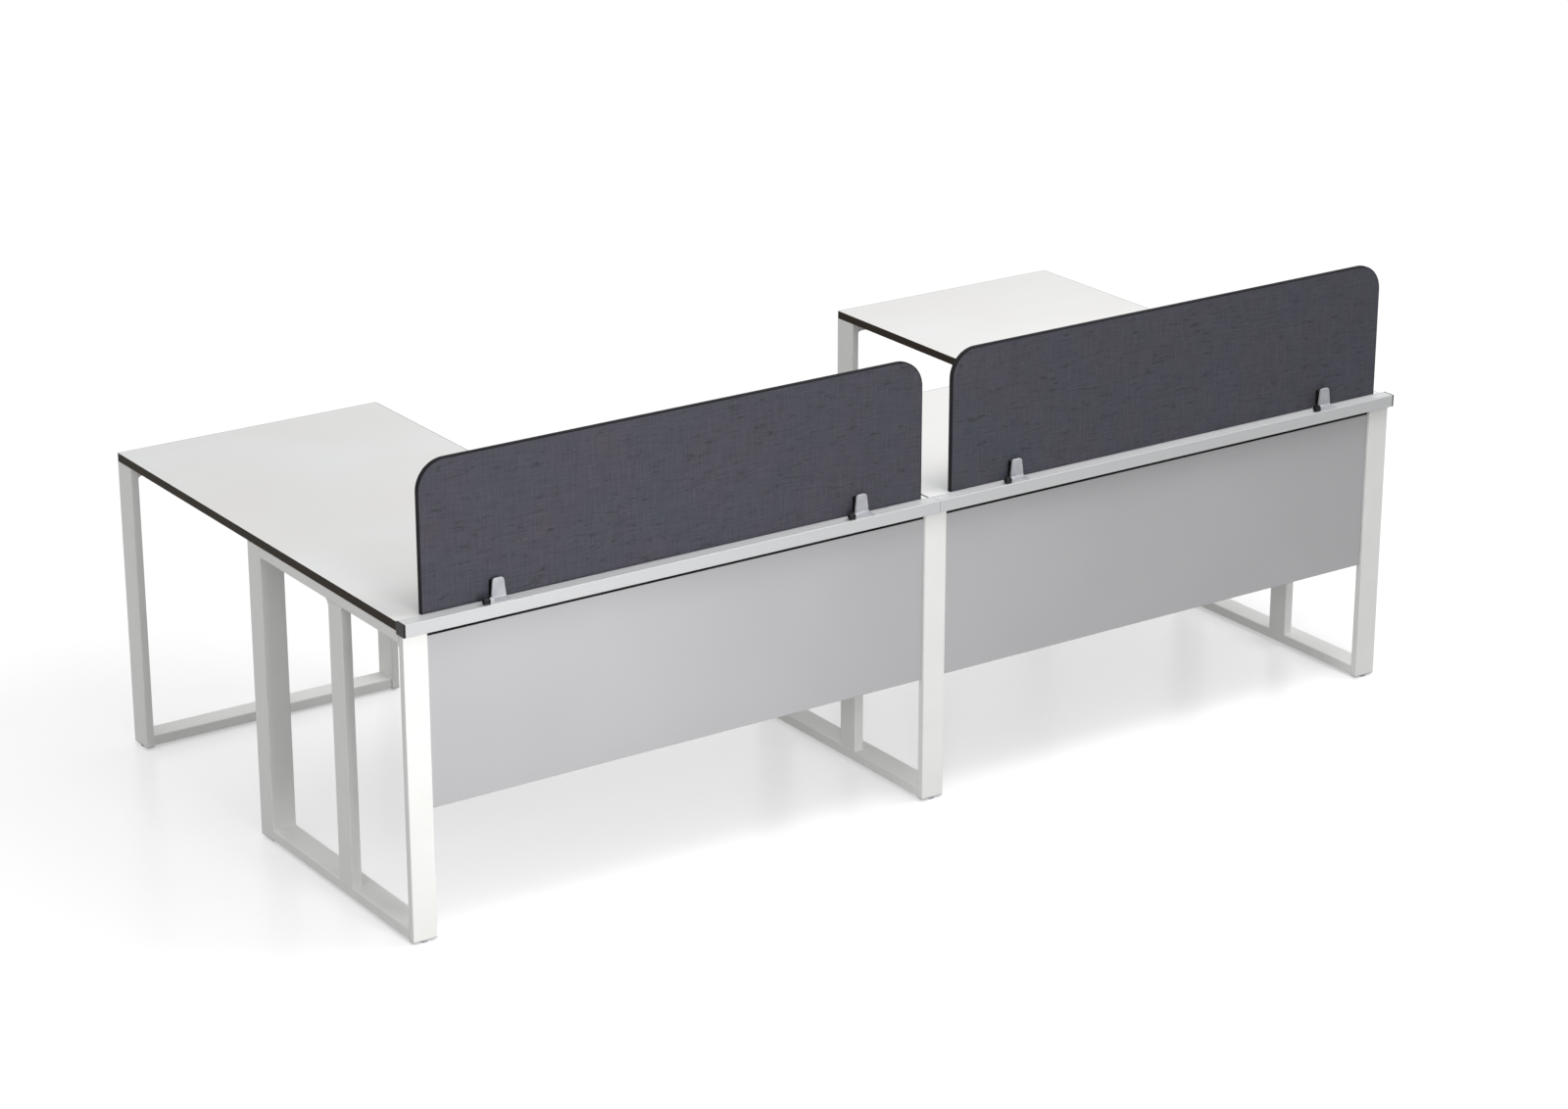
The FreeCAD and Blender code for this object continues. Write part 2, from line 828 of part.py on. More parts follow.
def clip_ribs(middle):
    """The two ribs under the plate that drop into the grooves in the rail's top."""
    ribs = []
    for groove in rail_groove_fronts():
        ribs.append(box(clip_left(middle), middle + finger_foot_width / 2, groove + clip_rib_clearance,
                        groove + rail_groove_width - clip_rib_clearance,
                        rail_top - rail_groove_depth + clip_rib_clearance, rail_top + clip_round))
    return ribs


def screen_clip(middle):
    """A cast clip: a plate on the rail, a tapered finger at its back and a boss for the knob."""
    left = clip_left(middle)
    side = clip_side_profile(middle).extrude(ALONG * (clip_left_reach + finger_foot_width))
    front = clip_front_profile(middle).extrude(BACK * (finger_back() - rail_front + overrun))
    body = side.common(front).fuse([clip_boss(middle)] + clip_ribs(middle)).removeSplitter()
    bore_start = knob_axis_point(middle) - ALONG * overrun
    bore_length = overrun + boss_width - boss_wall
    knob_bore = rod(bore_start, ALONG, bore_length, knob_shank_radius + knob_clearance)
    screw_bores = [screen_bore(x, z) for x, z in finger_screw_points(middle)]
    return body.cut([knob_bore] + screw_bores)


def knob_axis_point(middle):
    """Where a knob's axis meets the left face of the clip's boss."""
    return Vector(clip_left(middle), rail_front + knob_setback, rail_top + knob_lift + knob_radius)


def clamp_knob(middle):
    """A fluted thumb knob with a dished end, and a shank that turns in the clip's boss."""
    seat = knob_axis_point(middle) - ALONG * knob_gap
    rim = seat - ALONG * (knob_length - knob_chamfer)
    end = seat - ALONG * knob_length
    knob = rod(seat, -ALONG, knob_length - knob_chamfer, knob_radius)
    knob = knob.fuse(Part.makeCone(knob_radius, knob_radius - knob_chamfer, knob_chamfer, rim, -ALONG))
    cuts = [rod(end, ALONG, knob_dish_depth, knob_dish_radius)]
    for k in range(knob_flutes):
        angle = 2 * pi * k / knob_flutes
        offset = Vector(0, knob_radius * cos(angle), knob_radius * sin(angle))
        cuts.append(rod(seat + offset, -ALONG, knob_length, flute_radius))
    shank_length = knob_gap + boss_width - boss_wall - knob_clearance
    shank = rod(seat, ALONG, shank_length, knob_shank_radius)
    return knob.cut(cuts).fuse(shank)


def clip_pad(middle):
    """The dark block between a finger and its screen."""
    low = rail_top + clip_plate_thickness
    half = pad_width / 2
    pad = box(middle - half, middle + half, finger_back(), screen_front, low, low + pad_height)
    pad = rounded(pad, BACK, pad_round)
    return pad.cut(Part.makeCompound([screen_bore(x, z) for x, z in finger_screw_points(middle)]))


def finger_screw_points(middle):
    plate_top = rail_top + clip_plate_thickness
    return [(middle, plate_top + finger_screw_low), (middle, plate_top + finger_screw_high)]


def screen_screw_places(bay):
    return [place for middle in clip_middles(bay) for place in finger_screw_points(middle)]


def finger_screw_length():
    return screen_thickness + pad_thickness + finger_screw_bite


def screen_bore(x, z):
    return rod(Vector(x, screen_back, z), -BACK, finger_screw_length(), screw_radius)


def screen_screw(x, z):
    return screw(Vector(x, screen_back, z), -BACK, finger_screw_length())


# Plugs and glides

def foot_centre(foot):
    x, y, width, depth = foot
    return x + width / 2, y + depth / 2


def leg_plug(foot):
    """A plug that fills a leg's open end, with a flange under the tube and a bore for the stem."""
    x, y, width, depth = foot
    flange = rounded(box(x, x + width, y, y + depth, leg_bottom - plug_flange, leg_bottom), UP, tube_corner)
    inset = tube_wall
    plug_top = leg_bottom + plug_depth
    body = box(x + inset, x + width - inset, y + inset, y + depth - inset, leg_bottom, plug_top)
    middle_x, middle_y = foot_centre(foot)
    bore = rod(Vector(middle_x, middle_y, 0), UP, plug_top + overrun, stem_radius + stem_clearance)
    return flange.fuse(body).cut(bore)


def glide(foot):
    """A turned glide: a flat puck with chamfered rims and a stem up into the plug."""
    x, y = foot_centre(foot)
    outline = [
        Vector(0, 0, 0),
        Vector(glide_radius - glide_chamfer, 0, 0),
        Vector(glide_radius, 0, glide_chamfer),
        Vector(glide_radius, 0, glide_height - glide_chamfer),
        Vector(glide_radius - glide_chamfer, 0, glide_height),
        Vector(stem_radius, 0, glide_height),
        Vector(stem_radius, 0, glide_height + stem_length),
        Vector(0, 0, glide_height + stem_length),
    ]
    solid = face_of(outline).revolve(Vector(0, 0, 0), UP, 360)
    solid.translate(Vector(x, y, 0))
    return solid


def all_feet():
    """The footprint of every leg that has a glide, by the glide's name."""
    feet = {}
    for name in ("left", "middle", "right"):
        for place in ("front", "rear"):
            feet[name + "_" + place] = frame_feet(name)[place]
    for side in ("left", "right"):
        for place, foot in return_feet(side).items():
            feet[side + "_return_" + place] = foot
    return feet


# The whole bench, by node

def build():
    nodes = {}
    bolt_bores = at_beam_ends([end_bolt_bore(point) for point in end_bolt_points()])
    bracket_bores = at_brackets([rod(*item[:2], item[2], screw_radius) for item in bracket_screw_points()])
    bolt_xs = rail_bolt_places()
    frame_bores = bolt_bores + panel_bores() + [rail_bolt_bore(x) for x in bolt_xs]
    beam_bores = bolt_bores + bracket_bores

    board, band = desktop_and_band(bracket_bores)
    nodes["desktop_left"] = board
    nodes["desktop_right"] = mirrored(board)
    nodes["edge_band_left"] = band
    nodes["edge_band_right"] = mirrored(band)

    for name in ("left", "middle", "right"):
        nodes["frame_" + name] = main_frame(name, frame_bores)
    nodes["return_frame_left"] = return_frame(bolt_bores)
    nodes["return_frame_right"] = mirrored(nodes["return_frame_left"])

    for bay in ("left", "right"):
        nodes["front_beam_" + bay] = beam_along(bay, front_beam_front, beam_bores)
        nodes["rear_beam_" + bay] = beam_along(bay, rear_beam_front, beam_bores)
        nodes["modesty_panel_" + bay] = modesty_panel(bay)
        nodes["panel_seal_" + bay] = panel_seal(bay)
        nodes["accessory_rail_" + bay] = accessory_rail(bay)
        nodes["screen_" + bay] = screen(bay)
    for which in ("outer", "inner"):
        beam = return_beam(which, beam_bores)
        nodes["return_beam_" + which + "_left"] = beam
        nodes["return_beam_" + which + "_right"] = mirrored(beam)

    nodes["rail_end_cap_left"] = rail_end_cap()
    nodes["rail_end_cap_right"] = mirrored(rail_end_cap())
    nodes["rail_splice"] = chamber(-splice_length / 2, splice_length / 2, plug_clearance)
    nodes["rail_bolts"] = Part.makeCompound([solid for x in bolt_xs for solid in rail_bolt(x)])

    middles = clip_middles("left") + clip_middles("right")
    for number, middle in enumerate(middles, start=1):
        nodes["screen_clip_" + str(number)] = screen_clip(middle)
        nodes["clamp_knob_" + str(number)] = clamp_knob(middle)
    nodes["clip_pads"] = Part.makeCompound([clip_pad(middle) for middle in middles])
    screw_places = screen_screw_places("left") + screen_screw_places("right")
    nodes["screen_screws"] = Part.makeCompound([screen_screw(x, z) for x, z in screw_places])

    nodes["beam_end_plates"] = Part.makeCompound(at_beam_ends([end_plate()]))
    nodes["beam_bolts"] = Part.makeCompound(at_beam_ends([end_bolt(point) for point in end_bolt_points()]))
    nodes["desktop_brackets"] = Part.makeCompound(at_brackets([angle_bracket()]))
    bracket_screws = [screw(*item) for item in bracket_screw_points()]
    nodes["bracket_screws"] = Part.makeCompound(at_brackets(bracket_screws))
    nodes["panel_plates"] = panel_plates()
    panel_screw_length = panel_plate_thickness + panel_screw_bite
    panel_screws = [screw(point, -BACK, panel_screw_length) for point in panel_screw_points()]
    nodes["panel_screws"] = Part.makeCompound(panel_screws)

    feet = all_feet()
    nodes["leg_plugs"] = Part.makeCompound([leg_plug(foot) for foot in feet.values()])
    for name, foot in feet.items():
        nodes["glide_" + name] = glide(foot)
    return nodes


os.makedirs("parts", exist_ok=True)
for node, shape in build().items():
    shape.exportStep("parts/" + node + ".step")
    print(node, "solids", len(shape.Solids), "valid", shape.isValid(), "volume", round(shape.Volume))
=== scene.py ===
# %% [markdown]
# A bench for two people, with a covered screen in front of each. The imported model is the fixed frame:
# it says where every piece is and how it moves. This lesson gives each piece its finish, adds the
# tape that is sewn round each screen, and lights the bench as in a pale studio. Lengths are in metres.

# %% Load the frame
import json
import math

import bpy
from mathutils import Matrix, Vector


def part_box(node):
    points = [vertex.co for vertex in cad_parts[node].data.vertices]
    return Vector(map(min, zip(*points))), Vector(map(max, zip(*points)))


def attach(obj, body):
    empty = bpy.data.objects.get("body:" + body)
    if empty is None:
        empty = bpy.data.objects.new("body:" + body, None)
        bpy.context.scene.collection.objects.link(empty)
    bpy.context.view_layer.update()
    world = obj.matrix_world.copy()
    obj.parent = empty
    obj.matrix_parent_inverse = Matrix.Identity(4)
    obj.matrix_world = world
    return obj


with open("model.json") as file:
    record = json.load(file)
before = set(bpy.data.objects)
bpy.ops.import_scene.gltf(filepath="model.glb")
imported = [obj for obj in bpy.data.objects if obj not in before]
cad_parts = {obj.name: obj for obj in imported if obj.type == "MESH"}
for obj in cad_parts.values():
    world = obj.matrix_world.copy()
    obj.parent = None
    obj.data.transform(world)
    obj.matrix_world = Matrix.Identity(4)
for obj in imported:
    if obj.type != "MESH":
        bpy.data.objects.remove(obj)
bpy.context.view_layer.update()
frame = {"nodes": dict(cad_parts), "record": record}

nodes = frame["nodes"]
print("pieces in the frame:", len(nodes))

# %% [markdown]
# A shader's maths reads best as ordinary sums. This small class wraps a socket, so that plus, minus
# and times each add one Math node. Nearly all of a noise lies from 0.3 to 0.7, with its middle at 0.5,
# so two of the methods stretch that span: to a share from 0 to 1, or to any other pair of values.


# %% Shader sums as Python expressions
class Wire:
    """A socket's value, with which sums can be made."""

    def __init__(self, graph, socket):
        self.graph = graph
        self.socket = socket

    def beside(self, output):
        """Another output of the same node."""
        return Wire(self.graph, self.socket.node.outputs[output])

    def math(self, operation, other=0.0):
        return self.graph.node("ShaderNodeMath", {0: self, 1: other}, operation=operation)

    def __add__(self, other):
        return self.math("ADD", other)

    def __rsub__(self, other):
        return self.math("MULTIPLY", -1.0) + other

    def __mul__(self, other):
        return self.math("MULTIPLY", other)

    def clamp(self):
        return self.graph.node("ShaderNodeClamp", {"Value": self})

    def ramp(self, start, end, low=0.0, high=1.0):
        """Low up to the start, high from the end on, and a straight line between them."""
        return self.graph.node("ShaderNodeMapRange", {
            "Value": self, "From Min": start, "From Max": end, "To Min": low, "To Max": high})

    def share(self, reach):
        """From 0 to 1, as a noise goes from the reach below its middle to the reach above it."""
        return self.ramp(0.5 - reach, 0.5 + reach)

    def spread(self, low, high):
        """A noise's usual span, stretched from low to high."""
        return self.ramp(0.3, 0.7, low, high)


print("sums ready")

# %% [markdown]
# Shaders, the sky and the tape's sweep are all node trees. One method makes any node: it takes the
# node's type, what goes into its inputs, which output is wanted, and the node's own settings.


# %% Node trees
class Graph:
    """A node tree to which nodes are added by type, inputs and settings."""

    def __init__(self, tree):
        self.tree = tree
        self.tree.nodes.clear()

    def node(self, kind, inputs, output=0, **settings):
        made = self.tree.nodes.new(kind)
        for key, value in settings.items():
            setattr(made, key, value)
        for key, value in inputs.items():
            if isinstance(value, Wire):
                self.tree.links.new(value.socket, made.inputs[key])
            else:
                made.inputs[key].default_value = value
        return Wire(self, made.outputs[output])


print("node trees ready")

# %% [markdown]
# A finish is one material with one Principled shader. What is even over the surface is set straight on
# the shader, and only what varies is driven by nodes. Patterns are laid out in the object's own
# coordinates, so they ride with the piece, and a noise's scale is about its number of spots per metre.


# %% Finishes
class Finish(Graph):
    """One material, whose shader's sockets are set and driven by name."""

    def __init__(self, name, **constants):
        self.material = bpy.data.materials.new(name)
        self.material.use_nodes = True
        super().__init__(self.material.node_tree)
        output = self.tree.nodes.new("ShaderNodeOutputMaterial")
        self.shader = self.tree.nodes.new("ShaderNodeBsdfPrincipled")
        self.tree.links.new(self.shader.outputs[0], output.inputs["Surface"])
        for key, value in constants.items():
            self.shader.inputs[key.replace("_", " ")].default_value = value

    def drive(self, socket, wire):
        self.tree.links.new(wire.socket, self.shader.inputs[socket])

    def place(self, x=1.0, y=1.0, z=1.0):
        """The object's own coordinates, multiplied along each axis."""
        coordinates = self.node("ShaderNodeTexCoord", {}, "Object")
        return self.node("ShaderNodeVectorMath", {0: coordinates, 1: (x, y, z)},
                         operation="MULTIPLY")

    def noise(self, place, scale=1.0, detail=2.0, roughness=0.55):
        return self.node("ShaderNodeTexNoise", {
            "Vector": place, "Scale": scale, "Detail": detail, "Roughness": roughness})

    def blend(self, amount, first, second):
        """A colour between two others. A Mix node's colours are its inputs 6 and 7 and output 2."""
        return self.node("ShaderNodeMix", {0: amount, 6: first, 7: second}, 2, data_type="RGBA")

    def bump(self, height, depth):
        """Relief that goes up and down with the height, by the depth in metres."""
        self.drive("Normal", self.node("ShaderNodeBump", {
            "Height": height, "Distance": depth, "Strength": 1.0}))


print("finishes ready")

# %% [markdown]
# Colours are written as they are read off a screen, from 0 to 255. A shader works in linear light, so
# each value is taken through the usual screen curve, which is a straight line in the near-blacks and a
# power above them.


# %% Screen colours to linear light
def linear(red, green, blue):
    parts = []
    for value in (red / 255, green / 255, blue / 255):
        parts.append(value / 12.92 if value <= 0.04045 else ((value + 0.055) / 1.055) ** 2.4)
    return (*parts, 1.0)


print("mid grey in linear light:", round(linear(128, 128, 128)[0], 3))

# %% [markdown]
# The frames, beams and rails of the bench are steel tube with a white powder coat. Baked powder is never
# quite flat: it has a fine orange peel a tenth of a millimetre deep, and it is a little rougher in
# some places than in others. Two noises give the peel and the change of gloss.

# %% White powder coat
white_coat = Finish("white powder coat", IOR=1.5, Coat_Weight=0.12, Coat_Roughness=0.3)
place = white_coat.place()
cloud = white_coat.noise(place, scale=7.0)
peel = white_coat.noise(place, scale=420.0, detail=1.0)
tone = white_coat.blend(cloud.share(0.15), linear(241, 241, 238), linear(245, 245, 243))
white_coat.drive("Base Color", tone)
white_coat.drive("Roughness", cloud.spread(0.36, 0.48))
white_coat.bump(peel, depth=0.00012)
print("white powder coat made")

# %% [markdown]
# The tops are chipboard with a pale, matt laminate, and the panels between the front legs carry the same
# laminate in mid grey. Its pressed surface has a very fine grain that shows only as a soft sparkle at a
# low angle, and handling leaves faint cloudy changes in gloss. One function makes both.


# %% Matt laminates
def matt_laminate(name, haze_scale, smoothest, dark, light, speck_tone, speck_start, speck_share):
    speck_end = 0.78
    gloss_change = 0.12
    finish = Finish(name, IOR=1.48)
    place = finish.place()
    haze = finish.noise(place, haze_scale)
    speck = finish.noise(place, scale=900.0, roughness=0.7)
    tone = finish.blend(haze.share(0.15), dark, light)
    tone = finish.blend(speck.ramp(speck_start, speck_end) * speck_share, tone, speck_tone)
    finish.drive("Base Color", tone)
    finish.drive("Roughness", haze.spread(smoothest, smoothest + gloss_change) + speck * 0.04)
    finish.bump(speck, depth=0.00006)
    return finish


pale_board = matt_laminate(
    "pale matt laminate", haze_scale=2.2, smoothest=0.38,
    dark=linear(224, 223, 221), light=linear(228, 229, 229),
    speck_tone=linear(211, 210, 209), speck_start=0.62, speck_share=0.35)
grey_board = matt_laminate(
    "grey matt laminate", haze_scale=1.8, smoothest=0.42,
    dark=linear(183, 183, 185), light=linear(188, 188, 190),
    speck_tone=linear(168, 168, 171), speck_start=0.6, speck_share=0.3)
print("laminates made")

# %% [markdown]
# The dark line round each top is a plastic edge band, 2 mm thick. It is drawn lengthwise from a roll,
# so its faint streaks run level round the edge. That is a noise pressed flat along Z.

# %% Dark edge band
edge = Finish("dark edge band", IOR=1.38, Specular_IOR_Level=0.15)
streaks = edge.noise(edge.place(6.0, 6.0, 900.0), detail=4.0)
grain = edge.noise(edge.place(), scale=700.0)
tone = edge.blend(streaks.share(0.2), linear(33, 25, 15), linear(48, 38, 25))
edge.drive("Base Color", tone)
edge.drive("Roughness", streaks.spread(0.44, 0.58))
edge.bump(grain * 0.5 + streaks, depth=0.00008)
print("edge band made")

# %% [markdown]
# The rail that carries the screens is extruded aluminium with a satin anodised skin. The die leaves
# lines along the whole length, so one noise is drawn out along X. The lines change the gloss more than
# the colour. A satin skin like this scatters nearly all of its light, and reads as pale grey rather
# than as a mirror, so there is next to no metallic share.

# %% Anodised rail
rail = Finish("satin anodised aluminium", Metallic=0.03)
die_lines = rail.noise(rail.place(0.6, 900.0, 900.0), detail=4.0, roughness=0.65)
dust = rail.noise(rail.place(), scale=600.0)
tone = rail.blend(die_lines.share(0.15), linear(197, 198, 199), linear(204, 205, 206))
rail.drive("Base Color", tone)
rail.drive("Roughness", die_lines.spread(0.28, 0.4) + dust * 0.05)
rail.bump(die_lines, depth=0.00003)
print("rail finish made")

# %% [markdown]
# The clips are zinc castings under a light grey coat. A casting is softer in shape than machined
# metal, and the coat shows a livelier peel on it than on tube.

# %% Coated castings
casting = Finish("light grey coated casting", IOR=1.5, Coat_Weight=0.1, Coat_Roughness=0.3)
place = casting.place()
cloud = casting.noise(place, scale=40.0)
peel = casting.noise(place, scale=650.0)
tone = casting.blend(cloud.share(0.2), linear(164, 165, 170), linear(178, 179, 184))
casting.drive("Base Color", tone)
casting.drive("Roughness", cloud.spread(0.38, 0.52))
casting.bump(peel + cloud * 0.6, depth=0.0001)
print("casting finish made")

# %% [markdown]
# The knobs, plugs, glides and end caps are moulded plastic with a spark-eroded grain, which is a
# fine, even roughness. The pads and seals are black rubber from a rougher and duller mould. The
# seals are black strips that fill the gap under the rail, so their black is painted shade: it stands
# in for the shadow in that gap. One function makes the finish in any colour and gloss.


# %% Moulded plastics and rubber
def moulded(name, dark, light, roughness, gloss=0.5):
    finish = Finish(name, IOR=1.4, Specular_IOR_Level=gloss)
    place = finish.place()
    grain = finish.noise(place, scale=1500.0)
    flow = finish.noise(place, scale=30.0, detail=1.0)
    finish.drive("Base Color", finish.blend(flow.share(0.15), dark, light))
    finish.drive("Roughness", flow.spread(roughness - 0.05, roughness + 0.06))
    finish.bump(grain, depth=0.00008)
    return finish


dark_plastic = moulded("dark moulded plastic", linear(18, 18, 20), linear(28, 28, 31),
                       roughness=0.36, gloss=0.35)
grey_plastic = moulded("grey moulded plastic", linear(168, 169, 172), linear(184, 185, 188),
                       roughness=0.5)
# Black rubber for the pads, and for the seals under the rail, whose black is painted shade for the gap
# there.
pad_rubber = moulded("black pad rubber", linear(13, 13, 13), linear(22, 22, 22),
                     roughness=0.75, gloss=0.2)
print("plastics and rubber made")

# %% [markdown]
# Screws, bolts, plates and brackets are steel with a bright zinc skin. Zinc is cloudy in patches a few
# millimetres wide, with a faint blue to yellow cast, and handling leaves faint level scratches.

# %% Zinc plate
zinc = Finish("bright zinc plate", Metallic=1.0)
patch = zinc.noise(zinc.place(), scale=160.0, detail=3.0)
scratch = zinc.noise(zinc.place(1.0, 1.0, 30.0), scale=220.0, detail=3.0)
tone = zinc.blend(patch.share(0.15), linear(176, 180, 188), linear(200, 199, 190))
zinc.drive("Base Color", tone)
zinc.drive("Roughness", patch.spread(0.28, 0.46))
zinc.bump(scratch, depth=0.00004)
print("zinc finish made")

# %% [markdown]
# The screens are boards covered in a charcoal wool mix that is fulled like felt. A plain weave about a
# millimetre apart still shows through. It is two crossed waves, bent a little by a noise. The threads
# are thick in places, which is a noise stretched along each thread, and loose fibre covers it all.

# %% Heather cloth: threads and fibre
cloth = Finish("charcoal heather cloth", IOR=1.4,
               Sheen_Weight=0.25, Sheen_Roughness=0.5, Sheen_Tint=linear(150, 155, 175))
thread_pitch = 0.0011
turns = 2 * math.pi / thread_pitch
place = cloth.place()
across = cloth.node("ShaderNodeSeparateXYZ", {0: place}, "X")
upward = across.beside("Z")
wander = cloth.noise(place, scale=60.0) * 5.0
weft = (upward * turns + wander).math("SINE")
warp = (across * turns + wander).math("SINE")
weave = weft * warp * 0.5 + 0.5
weft_slubs = cloth.noise(cloth.place(14.0, 40.0, 260.0), detail=4.0, roughness=0.6)
warp_slubs = cloth.noise(cloth.place(260.0, 40.0, 14.0), detail=4.0, roughness=0.6)
slubs = (weft_slubs + warp_slubs) * 0.5
fibre = cloth.noise(place, scale=1400.0, detail=3.0, roughness=0.75)
cloth.bump(weave + slubs * 1.5 + fibre * 0.5, depth=0.0004)
print("threads in 10 cm:", round(0.1 / thread_pitch))

# %% [markdown]
# The wool is spun from dark and light fibres, so thick places and loose fibre come out lighter. The dye
# takes a little warmer or cooler in places. Over that lie the knots of a heather wool: sparse dark
# flecks and a few light ones, under a centimetre wide. The weave's relief is also added to the colour,
# so the hollows between threads come out darker: that part is painted shade.

# %% Heather cloth: colour
# A tenth of the weave's height goes into the colour, as painted shade in the hollows between threads.
heather = slubs.share(0.12) * 0.3 + fibre.share(0.2) * 0.45 + weave * 0.1 + 0.1
dye = cloth.noise(place, scale=7.0, detail=3.0).share(0.15)
dark_yarn = cloth.blend(dye, linear(45, 43, 50), linear(42, 43, 51))
light_yarn = cloth.blend(dye, linear(94, 90, 100), linear(89, 91, 101))
dark_flecks = cloth.noise(cloth.place(36.0, 36.0, 140.0), detail=3.0).ramp(0.6, 0.72)
light_flecks = cloth.noise(cloth.place(80.0, 80.0, 120.0)).ramp(0.68, 0.8)
tone = cloth.blend(heather, dark_yarn, light_yarn)
tone = cloth.blend(dark_flecks * 0.55, tone, linear(34, 34, 39))
tone = cloth.blend(light_flecks * 0.45, tone, linear(112, 107, 111))
cloth.drive("Base Color", tone)
cloth.drive("Roughness", heather.ramp(0.0, 1.0, low=0.97, high=0.85))
print("cloth made")

# %% [markdown]
# The record names a material slot for each piece, so a table from slot to finish dresses the whole
# frame. The meshes themselves stay as they are.

# %% Dress the frame
finishes = {
    "desktop_board": pale_board,
    "edge_band": edge,
    "screen_felt": cloth,
    "panel_board": grey_board,
    "rail_metal": rail,
    "frame_paint": white_coat,
    "clip_cast": casting,
    "dark_plastic": dark_plastic,
    "grey_plastic": grey_plastic,
    "pad_rubber": pad_rubber,
    "zinc_steel": zinc,
}
for part in frame["record"]["subparts"]:
    mesh = nodes[part["node"]].data
    mesh.materials.clear()
    mesh.materials.append(finishes[part["material_slot"]].material)

# %% [markdown]
# The two cloth faces of a screen meet at its edge, where a black tape is sewn over them. From the front
# left it shows as a dark line down the near side, round both corners and along the top. Geometry Nodes
# can sweep it along its path. A tree for that has named inputs, and it ends by making its result real
# and giving it the finish.


# %% A tree with named inputs
class Sweep(Graph):
    """A Geometry Nodes tree, made from the names and kinds of its inputs."""

    def __init__(self, name, kinds):
        super().__init__(bpy.data.node_groups.new(name, "GeometryNodeTree"))
        sockets = self.tree.interface
        sockets.new_socket("Geometry", in_out="OUTPUT", socket_type="NodeSocketGeometry")
        self.identifiers = {}
        for label, kind in kinds.items():
            made = sockets.new_socket(label, in_out="INPUT", socket_type="NodeSocket" + kind)
            self.identifiers[label] = made.identifier
        self.inputs = self.tree.nodes.new("NodeGroupInput").outputs

    def input(self, label):
        return Wire(self, self.inputs[label])

    def end(self, geometry):
        realized = self.node("GeometryNodeRealizeInstances", {"Geometry": geometry})
        dressed = self.node("GeometryNodeSetMaterial", {
            "Geometry": realized, "Material": self.input("Finish")})
        output = self.tree.nodes.new("NodeGroupOutput")
        self.tree.links.new(dressed.socket, output.inputs["Geometry"])


print("sweep ready")

# %% [markdown]
# The tape's section is a flat rectangle with rounded corners. A sweep lays the section's own width
# across the path in the screen's plane, so the tape's depth goes in there, and the tape's width goes
# into the section's height.

# %% The tape's tree
tape_tree = Sweep("sewn tape", {
    "Geometry": "Geometry", "Width": "Float", "Depth": "Float", "Rounding": "Float",
    "Corner Steps": "Int", "Finish": "Material"})
section = tape_tree.node("GeometryNodeCurvePrimitiveQuadrilateral", {
    "Width": tape_tree.input("Depth"), "Height": tape_tree.input("Width")}, mode="RECTANGLE")
section = tape_tree.node("GeometryNodeFilletCurve", {
    "Curve": section, "Count": tape_tree.input("Corner Steps"),
    "Radius": tape_tree.input("Rounding")}, mode="POLY")
swept = tape_tree.node("GeometryNodeCurveToMesh", {
    "Curve": tape_tree.input("Geometry"), "Profile Curve": section, "Fill Caps": True})
smooth = tape_tree.node("GeometryNodeSetShadeSmooth", {"Geometry": swept, "Shade Smooth": True})
tape_tree.end(smooth)
print("tape inputs:", list(tape_tree.identifiers))

# %% [markdown]
# The tape is a ribbed cotton. Its finish is nearly black, with fine ribs, and it is paler where it has
# been rubbed. One noise gives the ribs and a far larger one the wear.

# %% Black tape finish
tape_finish = Finish("black edge tape", IOR=1.4)
place = tape_finish.place()
ribs = tape_finish.noise(place, scale=1100.0, roughness=0.7)
wear = tape_finish.noise(place, scale=25.0)
paleness = (ribs * 0.7 + wear * 0.3).share(0.2)
tone = tape_finish.blend(paleness, linear(14, 14, 17), linear(26, 26, 30))
tape_finish.drive("Base Color", tone)
tape_finish.drive("Roughness", wear.spread(0.88, 0.98))
tape_finish.bump(ribs, depth=0.00025)
print("tape finish made")

# %% [markdown]
# A screen's tape goes up one side, round the corner, along the top and down again. Its path is worked
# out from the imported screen's own box and the radius of its corners.


# %% The tape's path
def screen_path(low, high, inset, corner, corner_steps=14):
    """Points at the inset within a screen's edge, as a tape is laid round it."""
    middle = (low.y + high.y) / 2
    bend = corner - inset
    bend_height = high.z - corner
    points = [(low.x + inset, middle, low.z)]
    for bend_x, start in ((low.x + corner, math.pi), (high.x - corner, math.pi / 2)):
        for step in range(corner_steps + 1):
            angle = start - step / corner_steps * math.pi / 2
            points.append((bend_x + bend * math.cos(angle), middle,
                           bend_height + bend * math.sin(angle)))
    points.append((high.x - inset, middle, low.z))
    return points


print("path ready")

# %% [markdown]
# The path becomes an open curve that carries the tree for a moment. What the tree gives is kept as a
# plain mesh, and the curve goes away again. A small function puts any new object into the scene, at
# the origin.


# %% Sweep along a path
def add_object(name, data):
    made = bpy.data.objects.new(name, data)
    bpy.context.scene.collection.objects.link(made)
    return made


def swept_along(points, tree, name, settings):
    """A mesh object: the tree's section along the points."""
    curve = bpy.data.curves.new(name + "_path", "CURVE")
    curve.dimensions = "3D"
    spline = curve.splines.new("POLY")
    spline.points.add(len(points) - 1)
    for point, corner in zip(spline.points, points):
        point.co = (*corner, 1.0)
    guide = add_object(name + "_path", curve)
    modifier = guide.modifiers.new("sweep", "NODES")
    modifier.node_group = tree.tree
    for key, value in settings.items():
        modifier[tree.identifiers[key]] = value
    bpy.context.view_layer.update()
    evaluated = guide.evaluated_get(bpy.context.evaluated_depsgraph_get())
    mesh = bpy.data.meshes.new_from_object(evaluated)
    guide.modifiers.remove(modifier)
    bpy.data.objects.remove(guide)
    mesh.name = name
    return add_object(name, mesh)


print("sweeping ready")
